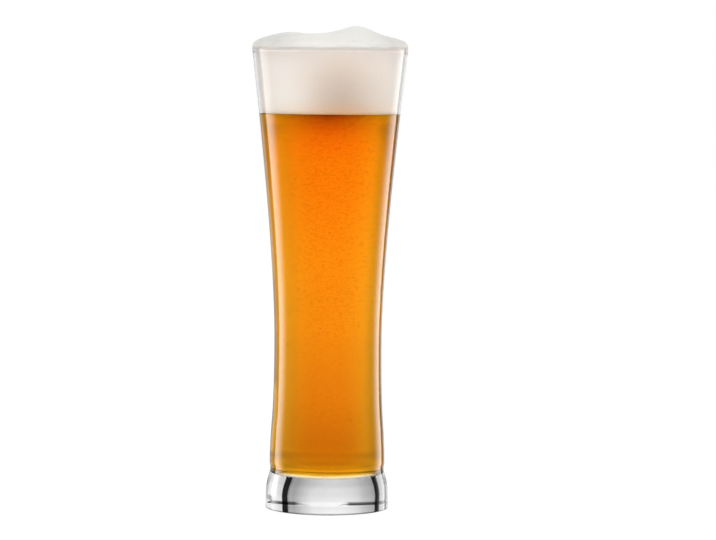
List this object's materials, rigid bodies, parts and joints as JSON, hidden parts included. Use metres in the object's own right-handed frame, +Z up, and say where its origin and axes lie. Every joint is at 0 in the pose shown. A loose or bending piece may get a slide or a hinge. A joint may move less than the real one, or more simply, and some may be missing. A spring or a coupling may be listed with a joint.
{
  "type": "weizen glass",
  "caption": "Tall waisted wheat beer glass on a thick clear base, poured full with golden beer under a domed white foam head.",
  "frame": {"origin": "centre of the circle that the glass stands on, at table height", "axes": "+Z up along the axis of the glass, towards its lip; the foam's peak leans to +X"},
  "size_m": [0.0844, 0.0844, 0.262],
  "materials": {
    "clear_glass": "polished",
    "golden_beer": "gloss",
    "beer_foam": "matte"
  },
  "bodies": {
    "root": {"glass": "clear_glass", "beer": "golden_beer", "foam_head": "beer_foam"}
  },
  "joints": []
}
